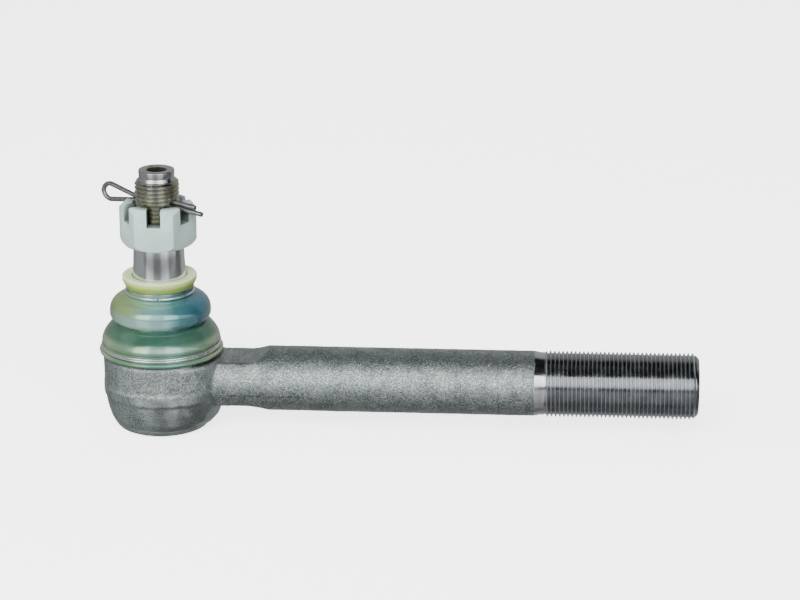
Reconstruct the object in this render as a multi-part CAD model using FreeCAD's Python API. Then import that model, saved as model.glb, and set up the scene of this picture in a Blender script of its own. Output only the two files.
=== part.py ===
import FreeCAD, Part
import math
import os

# Tie rod end: a forged housing with a threaded shank, and a ball stud that swings and turns in it.
# Millimetres. The origin is the ball's centre, +X runs along the shank to its threaded end and +Z up the stud.

# --- driving dimensions -------------------------------------------------------------------------
BALL_R = 13.5                 # ball of the stud
SEAT_GAP = 0.05               # running clearance between the ball and its seats, and the seats and their bore
SWING_DEG = 20.0              # how far the stud leans from upright, any way

FORGED_R = 11.8               # forged shank
THREAD_R = 12.0               # major radius of the thread at its end
SHANK_PITCH = 1.5             # M24 x 1.5
SHANK_RINGS = 36              # thread grooves along the shank, which leaves an odd number of crests
THREAD_START_X = 139.0        # where the thread begins, measured from the ball's centre
NECK_R = 11.2                 # turned neck between the forged shank and the thread
FORGING_END_X = 135.5         # where the forged surface stops and the turned neck begins

BARREL_R = 21.2               # round barrel that holds the ball
BARREL_TOP_Z = 10.2           # shoulder that the boot's bead rests on
BARREL_STEP_Z = -4.6          # below this the barrel is turned down to a cone
BARREL_BOTTOM_Z = -18.05      # rolled edge under the cover
BORE_R = 16.2                 # bore that the seats go in
BOOT_NECK_R = 17.5            # neck that the boot is clamped to
BOOT_NECK_TOP_Z = 16.6
THROAT_R = 12.5               # mouth above the ball, smaller than the ball
FLAT_Z = 8.4                  # half the distance across the shank's two spanner flats
FLAT_END_X = 32.0             # where the flats start to run out

TAPER_R = 10.0                # large end of the stud's taper
TAPER_Z = 30.0                # height of that large end
TAPER_PER_MM = 1.0 / 20.0     # radius lost per millimetre of height: a 1:10 taper
STUD_R = 8.0                  # M16 x 1.5
STUD_PITCH = 1.5
STUD_THREAD_Z = 53.2          # where the stud's thread begins
STUD_RINGS = 13
STUD_TOP_Z = 78.1
STUD_NECK_R = 8.25            # between the ball and the taper

NUT_FLATS = 24.0              # across flats
NUT_BOTTOM_Z = 50.5
NUT_TOP_Z = 66.0
SLOT_FLOOR_Z = 59.7
SLOT_WIDTH = 5.0
NUT_ANGLE = 1.0               # turn of the nut about the stud, in degrees

PIN_WIRE_R = 0.90             # half the cotter pin's wire
PIN_Z = 66.0                  # height of the cotter pin's hole
PIN_HOLE_R = 2.0

COLLAR_R = 13.4               # nylon collar on top of the boot
COLLAR_TOP_Z = 39.1
COLLAR_SLEEVE_R = 10.95       # its sleeve, inside the boot's top lip

THREAD_DEPTH_RATIO = 0.6134   # depth of a metric thread divided by its pitch
CREST_RATIO = 0.125           # width of its crest divided by its pitch


# --- helpers ------------------------------------------------------------------------------------
def vec(r, z):
    """A point of a turned outline: radius r, height z."""
    return FreeCAD.Vector(r, 0, z)


def outline_edges(steps):
    """Edges through (r, z) points. A step of two points is an arc: a point that it passes, then its end."""
    edges = []
    here = vec(*steps[0])
    for step in steps[1:]:
        if isinstance(step[0], tuple):
            passing, end = vec(*step[0]), vec(*step[1])
            edges.append(Part.Arc(here, passing, end).toShape())
        else:
            end = vec(*step)
            edges.append(Part.makeLine(here, end))
        here = end
    start = vec(*steps[0])
    if here.distanceToPoint(start) > 1e-7:
        edges.append(Part.makeLine(here, start))
    return edges


def turned(steps, degrees=360.0):
    """A solid of revolution about Z from a closed (r, z) outline."""
    face = Part.Face(Part.Wire(outline_edges(steps)))
    return face.revolve(FreeCAD.Vector(0, 0, 0), FreeCAD.Vector(0, 0, 1), degrees)


def along_x(shape):
    """Lays a shape that was made along +Z down along +X."""
    shape.rotate(FreeCAD.Vector(0, 0, 0), FreeCAD.Vector(0, 1, 0), 90)
    return shape


def about_z(shape, degrees):
    shape.rotate(FreeCAD.Vector(0, 0, 0), FreeCAD.Vector(0, 0, 1), degrees)
    return shape


def crests(radius, pitch, start, rings, gap=0.0):
    """Outline of a ring-grooved thread going up from start: one crest more than there are rings."""
    depth = THREAD_DEPTH_RATIO * pitch
    half_crest = CREST_RATIO * pitch / 2
    half_root = half_crest * 2
    points = [(radius + gap, start)]
    for ring in range(rings):
        middle = start + half_crest + (ring + 0.5) * pitch
        points.append((radius + gap, middle - pitch / 2 + half_crest))
        points.append((radius - depth + gap, middle - half_root))
        points.append((radius - depth + gap, middle + half_root))
        points.append((radius + gap, middle + pitch / 2 - half_crest))
    points.append((radius + gap, start + rings * pitch + 2 * half_crest))
    return points


def rounded_path(points, radii):
    """A wire through points in the XZ plane, straight with a tangent arc of the given radius at each corner."""
    edges = []
    here = points[0]
    for before, corner, after, radius in zip(points, points[1:], points[2:], radii):
        back = (before - corner).normalize()
        ahead = (after - corner).normalize()
        half_turn = (math.pi - back.getAngle(ahead)) / 2
        reach = radius * math.tan(half_turn)
        middle = (back + ahead).normalize() * (radius / math.cos(half_turn) - radius)
        first, last = corner + back * reach, corner + ahead * reach
        edges.append(Part.makeLine(here, first))
        edges.append(Part.Arc(first, corner + middle, last).toShape())
        here = last
    edges.append(Part.makeLine(here, points[-1]))
    return Part.Wire(edges)


def swept(path, radius):
    """A round wire of the given radius along a path."""
    start = path.OrderedEdges[0]
    tangent = start.tangentAt(start.FirstParameter)
    section = Part.Wire(Part.makeCircle(radius, path.OrderedVertexes[0].Point, tangent))
    return path.makePipeShell([section], True, True)


# --- housing ------------------------------------------------------------------------------------
def barrel():
    """The round head: a shoulder and neck for the boot on top, and a turned cone down to the rolled edge."""
    return turned([
        (0, BARREL_BOTTOM_Z), (14.2, BARREL_BOTTOM_Z), ((16.3, -17.3), (17.6, -15.7)), (18.6, -13.4),
        (BARREL_R - 0.6, BARREL_STEP_Z - 0.4), (BARREL_R, BARREL_STEP_Z),
        (BARREL_R, BARREL_TOP_Z - 1.0), (BARREL_R - 0.8, BARREL_TOP_Z),
        (BOOT_NECK_R, BARREL_TOP_Z), (BOOT_NECK_R, 15.2), (18.2, 15.4), (18.2, 16.1),
        (17.8, BOOT_NECK_TOP_Z), (0, BOOT_NECK_TOP_Z)])


def ball_cavity():
    """Bore for the seats from below, the cone that stops the upper seat, and the flared mouth for the stud."""
    flare = math.tan(math.radians(SWING_DEG + 1.0))
    mouth = THROAT_R + (BOOT_NECK_TOP_Z + 1.0 - 9.0) * flare
    return turned([
        (0, BARREL_BOTTOM_Z - 1.0), (13.4, BARREL_BOTTOM_Z - 1.0), (13.4, -17.4), (BORE_R, -17.0),
        (BORE_R, 3.0), (12.96, 6.6), (THROAT_R, 7.0), (THROAT_R, 9.0),
        (mouth, BOOT_NECK_TOP_Z + 1.0), (0, BOOT_NECK_TOP_Z + 1.0)])


def shank():
    """The round shank with its turned neck and its ring-grooved M24 thread, chamfered at the free end."""
    thread = crests(THREAD_R, SHANK_PITCH, THREAD_START_X, SHANK_RINGS)
    end = thread[-1][1]
    rod = turned(
        [(0, 0), (FORGED_R, 0), (FORGED_R, FORGING_END_X), (NECK_R + 0.1, FORGING_END_X + 1.8),
         (NECK_R, THREAD_START_X - 0.4)]
        + thread + [(NECK_R - 0.5, end + 1.2), (0, end + 1.2)])
    return along_x(rod)


def flat_cutter(side):
    """Clears one spanner flat beside the barrel, with a round run-out towards the thread."""
    runout_r = 10.0
    width = 4 * FORGED_R
    block = Part.makeBox(FLAT_END_X, width, 2 * runout_r, FreeCAD.Vector(0, -width / 2, FLAT_Z))
    roller = Part.makeCylinder(runout_r, width, FreeCAD.Vector(FLAT_END_X, -width / 2, FLAT_Z + runout_r),
                               FreeCAD.Vector(0, 1, 0))
    cutter = block.fuse(roller)
    if side < 0:
        cutter = cutter.mirror(FreeCAD.Vector(0, 0, 0), FreeCAD.Vector(0, 0, 1))
    return cutter


def housing():
    rod = shank()
    for side in (1, -1):
        rod = rod.cut(flat_cutter(side))
    return barrel().fuse(rod).removeSplitter().cut(ball_cavity())


# --- what the housing holds ----------------------------------------------------------------------
def upper_ball_seat():
    """Plastic ring above the ball's middle, stopped by the cone in the housing."""
    inner = BALL_R + SEAT_GAP
    outer = BORE_R - SEAT_GAP
    low, high = 0.6, 6.5
    middle = (low + high) / 2
    return turned([
        (math.sqrt(inner ** 2 - low ** 2), low), (outer, low), (outer, 2.95), (12.95, high),
        (math.sqrt(inner ** 2 - high ** 2), high),
        ((math.sqrt(inner ** 2 - middle ** 2), middle), (math.sqrt(inner ** 2 - low ** 2), low))])


def lower_ball_seat():
    """Plastic cup under the ball, pressed up by the disc spring."""
    inner = BALL_R + SEAT_GAP
    outer = BORE_R - SEAT_GAP
    high, low, hole_r = -0.6, -14.2, 5.0
    sphere_low = -math.sqrt(inner ** 2 - hole_r ** 2)
    middle = -9.0
    return turned([
        (hole_r, low), (outer - 1.0, low), (outer, low + 1.0), (outer, high),
        (math.sqrt(inner ** 2 - high ** 2), high),
        ((math.sqrt(inner ** 2 - middle ** 2), middle), (hole_r, sphere_low))])


def disc_spring():
    """Coned spring washer between the lower seat and the cover, which keeps the ball joint tight."""
    return turned([(7.0, -15.25), (14.2, -14.65), (14.2, -15.45), (7.0, -16.05)])


def end_cover():
    """Round cover plate in the bottom of the bore, dished in the middle and grooved for its seal."""
    return turned([
        (0, -15.9), (5.6, -15.9), (6.2, -16.2), (12.6, -16.2), (14.0, -15.6), (14.5, -15.55),
        (14.5, -16.4), (BORE_R - 0.02, -16.4), (BORE_R - 0.02, -16.98), (13.3, -17.38), (0, -17.38)])


def cover_seal():
    """Rubber ring that seals the cover in the bore."""
    return Part.makeTorus(15.35, 0.78, FreeCAD.Vector(0, 0, -15.58))


# --- stud, nut and cotter pin ---------------------------------------------------------------------
def taper_r(z):
    """Radius of the stud's taper at a height above its large end."""
    return TAPER_R - (z - TAPER_Z) * TAPER_PER_MM


def ball_stud():
    """Ball, neck, 1:10 taper, M16 thread, and a pilot with a hexagon socket on top."""
    thread = crests(STUD_R, STUD_PITCH, STUD_THREAD_Z, STUD_RINGS)
    thread_end = thread[-1][1]
    ball_flat_r = 4.8
    ball_flat_z = -math.sqrt(BALL_R ** 2 - ball_flat_r ** 2)
    neck_z = math.sqrt(BALL_R ** 2 - STUD_NECK_R ** 2)
    taper_top = 51.6
    relief_r = STUD_R - THREAD_DEPTH_RATIO * STUD_PITCH - 0.1
    body = turned(
        [(0, ball_flat_z), (ball_flat_r, ball_flat_z), ((BALL_R, 0), (STUD_NECK_R, neck_z)),
         (STUD_NECK_R, 24.0), (TAPER_R, 27.6), (TAPER_R, TAPER_Z), (taper_r(taper_top), taper_top),
         (relief_r, taper_top + 0.6), (relief_r, STUD_THREAD_Z - 0.6)]
        + thread + [(6.9, thread_end + 1.0), (6.1, 75.9), (6.45, 76.2), (6.45, STUD_TOP_Z - 0.3),
                    (6.15, STUD_TOP_Z), (0, STUD_TOP_Z)])
    return body.cut(hexagon_socket()).cut(pin_hole())


def hexagon_socket():
    """6 mm hexagon for the key that holds the stud still, with a countersunk mouth and a drilled end."""
    flats, depth, drill_depth = 6.0, 5.2, 6.4
    corner = flats / math.sqrt(3)
    points = [FreeCAD.Vector(corner * math.cos(k * math.pi / 3), corner * math.sin(k * math.pi / 3), 0)
              for k in range(7)]
    prism = Part.Face(Part.makePolygon(points)).extrude(FreeCAD.Vector(0, 0, depth + 1))
    prism.translate(FreeCAD.Vector(0, 0, STUD_TOP_Z - depth))
    mouth = Part.makeCone(2.4, 4.2, 1.8, FreeCAD.Vector(0, 0, STUD_TOP_Z - 1.4))
    drill = Part.makeCone(1.0, 2.9, drill_depth - depth, FreeCAD.Vector(0, 0, STUD_TOP_Z - drill_depth))
    return prism.fuse(mouth).fuse(drill)


def pin_hole():
    """Cross hole for the cotter pin, in line with one pair of the nut's slots."""
    hole = Part.makeCylinder(PIN_HOLE_R, 4 * STUD_R, FreeCAD.Vector(-2 * STUD_R, 0, PIN_Z),
                             FreeCAD.Vector(1, 0, 0))
    return about_z(hole, NUT_ANGLE + pin_bearing())


def pin_bearing():
    """The cotter pin runs square to a flat of the nut, and this is that flat's bearing from +X."""
    return -30.0


def castle_nut():
    """Slotted hexagon nut, six slots in the middle of its flats, chamfered at both ends."""
    gap = 0.03
    corner_r = NUT_FLATS / math.sqrt(3)
    height = NUT_TOP_Z - NUT_BOTTOM_Z
    points = [FreeCAD.Vector(corner_r * math.cos(k * math.pi / 3), corner_r * math.sin(k * math.pi / 3), 0)
              for k in range(7)]
    hexagon = Part.Face(Part.makePolygon(points)).extrude(FreeCAD.Vector(0, 0, height))
    hexagon.translate(FreeCAD.Vector(0, 0, NUT_BOTTOM_Z))
    envelope = turned([
        (0, NUT_BOTTOM_Z), (11.3, NUT_BOTTOM_Z), (corner_r + 0.1, NUT_BOTTOM_Z + 2.3),
        (corner_r + 0.1, NUT_TOP_Z - 1.3), (12.4, NUT_TOP_Z), (0, NUT_TOP_Z)])
    nut = hexagon.common(envelope)
    for k in range(3):
        slot = Part.makeBox(4 * corner_r, SLOT_WIDTH, height,
                            FreeCAD.Vector(-2 * corner_r, -SLOT_WIDTH / 2, SLOT_FLOOR_Z))
        nut = nut.cut(about_z(slot, 30 + 60 * k))
    return about_z(nut.cut(nut_bore(gap)), NUT_ANGLE)


def nut_bore(gap):
    """The nut's thread below its slots, which is the stud's with a little clearance; plain through the crown."""
    thread = [point for point in crests(STUD_R, STUD_PITCH, STUD_THREAD_Z, STUD_RINGS, gap)
              if point[1] < SLOT_FLOOR_Z - 0.2]
    return turned(
        [(0, NUT_BOTTOM_Z - 1), (10.2, NUT_BOTTOM_Z - 1), (9.4, NUT_BOTTOM_Z + 1.4), (STUD_R + gap, 52.7)]
        + thread + [(STUD_R + gap, 64.6), (9.6, NUT_TOP_Z + 0.2), (9.6, NUT_TOP_Z + 1), (0, NUT_TOP_Z + 1)])


def cotter_pin():
    """Split pin: one wire doubled back on itself, with an open eye and two nearly straight legs."""
    half_gap = PIN_WIRE_R + 0.03
    eye_x, eye_half, eye_lift = -24.2, 3.6, 0.75
    low, high = PIN_Z - half_gap, PIN_Z + half_gap
    points = [FreeCAD.Vector(x, 0, z) for x, z in (
        (19.8, low - 0.7), (9.0, low), (-10.8, low), (eye_x, PIN_Z + eye_lift - eye_half),
        (eye_x, PIN_Z + eye_lift + eye_half), (-10.8, high), (9.0, high), (16.9, high - 0.45))]
    path = rounded_path(points, [30.0, 7.0, 3.2, 3.2, 7.0, 30.0])
    return about_z(swept(path, PIN_WIRE_R), NUT_ANGLE + pin_bearing())


# --- boot, its rings and the collar ---------------------------------------------------------------
def dust_boot():
    """Rubber bellows: a bead and clamped band on the housing, a skirt, a bulge, and a lip on the collar."""
    seat = BOOT_NECK_R + 0.05
    return turned([
        (seat, BARREL_TOP_Z + 0.1), (21.9, BARREL_TOP_Z + 0.1), ((22.4, 11.2), (21.8, 11.95)),
        (20.88, 11.97), (20.88, 14.4), (21.15, 14.6), ((21.1, 16.8), (19.7, 19.2)), (18.0, 21.4), (16.3, 22.2),
        ((17.7, 23.2), (18.2, 24.6)), (18.2, 26.6), ((17.1, 29.9), (14.0, 31.5)), (12.2, 32.3), (11.66, 32.5),
        (11.66, 34.7),
        (11.0, 34.7), (11.0, 31.8), ((16.7, 26.2), (14.6, 22.9)), ((15.0, 20.9), (17.4, 20.4)),
        (18.8, 17.2), (18.3, 16.3), (18.3, 15.35), (seat, 15.1)])


def boot_lower_ring():
    """Spring wire wound twice round the boot's lower band."""
    wire_r, pitch, turns, radius = 0.37, 0.78, 2.0, 21.3
    path = Part.makeHelix(pitch, pitch * turns, radius)
    section = Part.Wire(Part.makeCircle(wire_r, FreeCAD.Vector(radius, 0, 0), FreeCAD.Vector(0, 1, 0)))
    coil = Part.Wire(path).makePipeShell([section], True, True)
    coil.translate(FreeCAD.Vector(0, 0, 12.36))
    return about_z(coil, 90)


def boot_upper_ring():
    """Open spring ring round the boot's top lip, with a narrow gap between its ends."""
    ring_r, wire_r, gap_deg = 12.2, 0.5, 3.0
    circle = Part.makeCircle(wire_r, FreeCAD.Vector(ring_r, 0, 33.15), FreeCAD.Vector(0, 1, 0))
    face = Part.Face(Part.Wire(circle))
    ring = face.revolve(FreeCAD.Vector(0, 0, 0), FreeCAD.Vector(0, 0, 1), 360 - gap_deg)
    return about_z(ring, -87.6 + gap_deg / 2)


def sealing_collar():
    """Nylon collar that turns on the stud: a flange above the boot and a sleeve inside its lip."""
    low = 31.4
    gap = SEAT_GAP + 0.01
    return turned([
        (taper_r(low) + gap, low), (COLLAR_SLEEVE_R, low), (COLLAR_SLEEVE_R, 34.75), (12.1, 34.85),
        (COLLAR_R - 0.1, 37.2), (COLLAR_R, 37.4), (COLLAR_R, COLLAR_TOP_Z - 0.5),
        (COLLAR_R - 0.5, COLLAR_TOP_Z), (taper_r(COLLAR_TOP_Z) + gap + 0.5, COLLAR_TOP_Z),
        (taper_r(COLLAR_TOP_Z - 0.5) + gap, COLLAR_TOP_Z - 0.5)])


PARTS = {
    "housing": housing,
    "upper_ball_seat": upper_ball_seat,
    "lower_ball_seat": lower_ball_seat,
    "disc_spring": disc_spring,
    "end_cover": end_cover,
    "cover_seal": cover_seal,
    "ball_stud": ball_stud,
    "castle_nut": castle_nut,
    "cotter_pin": cotter_pin,
    "dust_boot": dust_boot,
    "boot_lower_ring": boot_lower_ring,
    "boot_upper_ring": boot_upper_ring,
    "sealing_collar": sealing_collar,
}

os.makedirs("parts", exist_ok=True)
for name, make in PARTS.items():
    shape = make()
    solids = shape.Solids
    print(name, "solids", len(solids), "valid", shape.isValid(), "volume", round(shape.Volume, 1),
          "box", [round(v, 2) for v in (shape.BoundBox.XMin, shape.BoundBox.XMax, shape.BoundBox.YMin,
                                        shape.BoundBox.YMax, shape.BoundBox.ZMin, shape.BoundBox.ZMax)])
    shape.exportStep("parts/" + name + ".step")
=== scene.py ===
import math

import bpy
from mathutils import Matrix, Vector


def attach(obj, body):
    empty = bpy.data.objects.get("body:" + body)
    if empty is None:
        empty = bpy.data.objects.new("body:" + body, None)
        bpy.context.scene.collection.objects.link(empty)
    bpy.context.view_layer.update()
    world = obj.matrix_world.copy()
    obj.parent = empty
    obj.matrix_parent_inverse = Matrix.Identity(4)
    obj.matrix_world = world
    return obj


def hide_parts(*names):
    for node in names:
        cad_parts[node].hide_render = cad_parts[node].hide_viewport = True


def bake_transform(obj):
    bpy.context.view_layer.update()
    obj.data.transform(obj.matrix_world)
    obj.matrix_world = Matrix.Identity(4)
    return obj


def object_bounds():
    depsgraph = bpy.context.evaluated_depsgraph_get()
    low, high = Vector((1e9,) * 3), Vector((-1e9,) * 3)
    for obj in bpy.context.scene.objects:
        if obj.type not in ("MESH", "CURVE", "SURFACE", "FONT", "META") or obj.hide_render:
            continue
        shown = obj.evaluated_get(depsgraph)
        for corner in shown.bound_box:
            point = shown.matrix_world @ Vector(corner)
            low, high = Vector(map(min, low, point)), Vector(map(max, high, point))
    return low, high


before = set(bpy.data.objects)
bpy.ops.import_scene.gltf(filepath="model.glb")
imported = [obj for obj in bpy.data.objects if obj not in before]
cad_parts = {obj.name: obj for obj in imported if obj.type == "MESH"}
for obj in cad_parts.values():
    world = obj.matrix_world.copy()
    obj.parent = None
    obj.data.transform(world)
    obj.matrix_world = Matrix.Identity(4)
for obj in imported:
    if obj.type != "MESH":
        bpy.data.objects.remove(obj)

cad_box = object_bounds()
mm = 0.001


# --- Camera ---------------------------------------------------------------------------------------
# A long lens about a metre away, a little above the part and almost square to its shank. The ball
# joint stands at the left of the frame and the threaded end at the right.

bpy.ops.object.camera_add(
    location=(0.1426, -0.9147, 0.3445), rotation=(math.radians(90 - 18.9), 0, math.radians(3.5)))
camera = bpy.context.object
camera.data.lens = 121.5
camera.data.sensor_width = 36
camera.data.clip_start = 0.05
bpy.context.scene.camera = camera


# --- Floor, studio and lamps ----------------------------------------------------------------------
# A plain pale floor under the barrel. The studio round it is a soft band of light in front, a dark
# ceiling and a grey back wall, which is what the turned and plated steel reflects.

floor_height = cad_box[0].z - 0.3 * mm
bpy.ops.mesh.primitive_plane_add(size=12, location=(0, 0, floor_height))
floor = bpy.context.object
floor.name = "floor"
floor.visible_glossy = False
floor.visible_diffuse = False


def feed(tree, socket, value):
    """Gives an input socket a value, or links another node's output to it."""
    if isinstance(value, bpy.types.NodeSocket):
        tree.links.new(value, socket)
    else:
        socket.default_value = value


def connect(tree, added, **inputs):
    """Feeds a node's inputs by name, with underscores for spaces."""
    for key, value in inputs.items():
        feed(tree, added.inputs[key.replace("_", " ")], value)
    return added


def node(tree, kind, settings=None, **inputs):
    """A shader node with its settings. Each input is a value or another node's output."""
    added = tree.nodes.new(kind)
    for key, value in (settings or {}).items():
        setattr(added, key, value)
    return connect(tree, added, **inputs)


def new_material(name):
    """A node material: itself, its tree, its Principled shader and its Object coordinates."""
    made = bpy.data.materials.new(name)
    made.use_nodes = True
    tree = made.node_tree
    return made, tree, tree.nodes["Principled BSDF"], node(tree, "ShaderNodeTexCoord").outputs["Object"]


def noise(tree, place, scale, detail, roughness=0.5):
    """The value of a noise texture."""
    return node(tree, "ShaderNodeTexNoise", Vector=place, Scale=scale, Detail=detail,
                Roughness=roughness).outputs["Fac"]


def ramp(tree, factor, stops, smooth=False):
    """A colour ramp through (position, colour) stops; a colour may be one grey number."""
    added = tree.nodes.new("ShaderNodeValToRGB")
    added.color_ramp.interpolation = "EASE" if smooth else "LINEAR"
    elements = added.color_ramp.elements
    while len(elements) < len(stops):
        elements.new(0.5)
    for element, (position, colour) in zip(elements, stops):
        element.position = position
        element.color = (colour,) * 3 + (1,) if isinstance(colour, (int, float)) else (*colour, 1)
    tree.links.new(factor, added.inputs["Fac"])
    return added.outputs["Color"]


def maths(tree, operation, *values):
    """One maths node's output, from values or sockets."""
    added = node(tree, "ShaderNodeMath", {"operation": operation})
    for socket, value in zip(added.inputs, values):
        feed(tree, socket, value)
    return added.outputs[0]


def mixed(tree, factor, first, second):
    """Two colours mixed by a factor."""
    added = node(tree, "ShaderNodeMix", {"data_type": "RGBA"})
    feed(tree, added.inputs[0], factor)
    for socket, colour in ((added.inputs[6], first), (added.inputs[7], second)):
        feed(tree, socket, (*colour, 1) if isinstance(colour, tuple) else colour)
    return added.outputs[2]


floor_paint, tree, shader, place = new_material("floor_paint")
mottle = noise(tree, place, 3.0, 3.0)
connect(tree, shader, Base_Color=ramp(tree, mottle, [(0.3, 0.88), (0.7, 0.90)]), Roughness=0.9,
        Emission_Color=(1, 1, 1, 1), Emission_Strength=3.0)
floor.data.materials.append(floor_paint)

studio = bpy.data.worlds.new("studio")
studio.use_nodes = True
bpy.context.scene.world = studio
tree = studio.node_tree
way = node(tree, "ShaderNodeTexCoord").outputs["Generated"]
parts = node(tree, "ShaderNodeSeparateXYZ", Vector=way).outputs
toward = maths(tree, "MULTIPLY", parts["Y"], -1.0)
# both angles run from 0 to 1 over a full turn, with 0.5 straight ahead of the part, towards the camera
upward = maths(tree, "ARCTAN2", parts["Z"], toward)
upward = maths(tree, "MULTIPLY_ADD", upward, 1 / math.tau, 0.5)
sideways = maths(tree, "ARCTAN2", parts["X"], toward)
sideways = maths(tree, "MULTIPLY_ADD", sideways, 1 / math.tau, 0.5)


def turn_stops(bands):
    """Ramp stops from (degrees, brightness) pairs; degrees run from -180 to 180."""
    return [((degrees + 180) / 360, brightness) for degrees, brightness in bands]


round_the_shank = ramp(tree, upward, turn_stops([
    (-180, 0.36), (-125, 0.34), (-100, 0.12), (-60, 0.12), (-42, 0.26), (-6, 0.47), (-3, 0.10), (7, 0.08),
    (10, 1.65), (45, 1.85), (48, 0.01), (118, 0.01), (130, 0.30), (180, 0.38)]))
round_the_stud = ramp(tree, sideways, turn_stops([
    (-180, 0.95), (-131, 0.55), (-52, 0.50), (-46, 2.1), (-20, 2.1), (-15, 0.78), (14, 0.78), (19, 1.9),
    (45, 1.9), (52, 0.6), (84, 0.55), (91, 0.10), (104, 0.12), (112, 0.80), (180, 0.95)]))
glow = node(tree, "ShaderNodeVectorMath", {"operation": "MULTIPLY"})
feed(tree, glow.inputs[0], round_the_shank)
feed(tree, glow.inputs[1], round_the_stud)
left_end = ramp(tree, sideways, turn_stops([(-130, 0.0), (-110, 1.0), (-66, 1.0), (-56, 0.0)]))
low_right = maths(tree, "MULTIPLY", ramp(tree, upward, turn_stops([(-110, 1.0), (-50, 1.0), (-35, 0.0)])),
                  ramp(tree, sideways, turn_stops([(48, 0.0), (70, 1.0), (112, 1.0), (125, 0.0)])))
light = mixed(tree, left_end, glow.outputs[0], (0.26, 0.27, 0.27))
light = mixed(tree, low_right, light, (0.11, 0.11, 0.11))
connect(tree, tree.nodes["Background"], Color=light, Strength=1.15)


def lamp(name, bearing, elevation, distance, size, power):
    """A square softbox aimed at the middle of the part; bearing 0 is in front, 90 at the threaded end."""
    aim = Vector((0.07, 0, 0.02))
    turn, rise = math.radians(bearing), math.radians(elevation)
    offset = Vector((math.sin(turn) * math.cos(rise), -math.cos(turn) * math.cos(rise), math.sin(rise)))
    bpy.ops.object.light_add(type="AREA", location=aim + offset * distance)
    made = bpy.context.object
    made.name = name
    made.data.size = size
    made.data.energy = power
    made.rotation_euler = (-offset).to_track_quat("-Z", "Y").to_euler()
    made.visible_glossy = False


lamp("key_softbox", -12, 38, 1.1, 0.5, 17.0)
lamp("fill_softbox", 40, 50, 1.3, 0.7, 5.5)
lamp("left_softbox", -75, 30, 1.2, 0.6, 8.0)
lamp("back_softbox", 170, 55, 1.3, 0.9, 9.0)


# --- Housing forging ------------------------------------------------------------------------------
# One steel forging: the round barrel for the ball and the shank with its two spanner flats. It is
# hot forged in two dies, trimmed along the parting line, shot blasted and oiled.

def clear_selection():
    if bpy.context.object and bpy.context.object.mode != "OBJECT":
        bpy.ops.object.mode_set(mode="OBJECT")
    bpy.ops.object.select_all(action="DESELECT")


def pick(piece):
    """Makes one piece the only selected and active one."""
    clear_selection()
    piece.select_set(True)
    bpy.context.view_layer.objects.active = piece
    return piece


def arc(centre, radius, start, end, count=8):
    """Points of an arc of a turned outline, (radius, height) pairs in millimetres, angles in degrees."""
    return [(centre[0] + radius * math.cos(math.radians(start + (end - start) * k / count)),
             centre[1] + radius * math.sin(math.radians(start + (end - start) * k / count)))
            for k in range(count + 1)]


def drawn(name, outline):
    """A chain of edges in the XZ plane through (radius, height) points in millimetres, left in edit mode."""
    clear_selection()
    bpy.ops.mesh.primitive_plane_add(size=mm)
    piece = bpy.context.object
    piece.name = name
    bpy.ops.object.mode_set(mode="EDIT")
    bpy.ops.mesh.merge(type="CENTER")
    bpy.ops.transform.translate(value=(outline[0][0] * mm, 0, outline[0][1] * mm))
    for here, there in zip(outline, outline[1:]):
        step = ((there[0] - here[0]) * mm, 0, (there[1] - here[1]) * mm)
        bpy.ops.mesh.extrude_vertices_move(TRANSFORM_OT_translate={"value": step})
    return piece


def weld(distance=0.001 * mm):
    """Welds the edited mesh's loose points, faces it outwards and leaves edit mode."""
    bpy.ops.mesh.select_all(action="SELECT")
    bpy.ops.mesh.remove_doubles(threshold=distance)
    bpy.ops.mesh.normals_make_consistent(inside=False)
    bpy.ops.object.mode_set(mode="OBJECT")


def turn_about(piece, axis, angle):
    """Turns a piece's mesh about one axis through the origin."""
    pick(piece)
    setattr(piece.rotation_euler, axis, angle)
    bpy.ops.object.transform_apply(location=False, rotation=True, scale=False)


def turned(name, outline, steps=144, degrees=360, axis="Z"):
    """A piece turned on a lathe from a closed (radius, height) outline in millimetres."""
    piece = drawn(name, outline + outline[:1])
    bpy.ops.mesh.select_all(action="SELECT")
    bpy.ops.mesh.remove_doubles(threshold=0.002 * mm)
    bpy.ops.mesh.spin(steps=steps, angle=math.radians(degrees), center=(0, 0, 0), axis=(0, 0, 1))
    weld(0.002 * mm)
    if axis == "X":
        turn_about(piece, "y", math.pi / 2)
    return piece


def modify(piece, kind, **settings):
    """Adds a modifier with its settings and applies it."""
    pick(piece)
    modifier = piece.modifiers.new(kind.lower(), kind)
    for key, value in settings.items():
        setattr(modifier, key, value)
    bpy.ops.object.modifier_apply(modifier=modifier.name)


def combine(piece, tool, operation):
    """Joins, cuts or trims a piece with a tool, which is then thrown away."""
    modify(piece, "BOOLEAN", operation=operation, object=tool, solver="EXACT")
    bpy.data.objects.remove(tool)


def smooth(piece, degrees=35):
    pick(piece)
    bpy.ops.object.shade_smooth_by_angle(angle=math.radians(degrees))


def dress(piece, material):
    piece.data.materials.clear()
    piece.data.materials.append(material)


barrel_r, parting_z, shank_r = 21.2, -4.9, 11.8
forging = turned("housing_forging", [
    (0, -17.5), (14.4, -17.5), (16.4, -16.9), (17.7, -15.6), (19.0, -13.2), (20.0, -9.6),
    (20.7, parting_z - 0.5), (20.75, parting_z), (barrel_r, parting_z + 0.05), (barrel_r, -0.9),
    (barrel_r - 0.22, -0.4), (barrel_r - 0.15, 9.0), (20.4, 10.15), (17.5, 10.2), (17.5, 15.2), (18.2, 15.4),
    (18.2, 16.1), (17.8, 16.6), (0, 16.6)], steps=128)
shank = turned("shank_blank", [
    (0, 0), (shank_r, 0), (shank_r, 135.2)] + arc((shank_r - 0.4, 135.2), 0.4, 0, 80, 3) + [
    (0, 135.6)], steps=96, axis="X")

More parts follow.
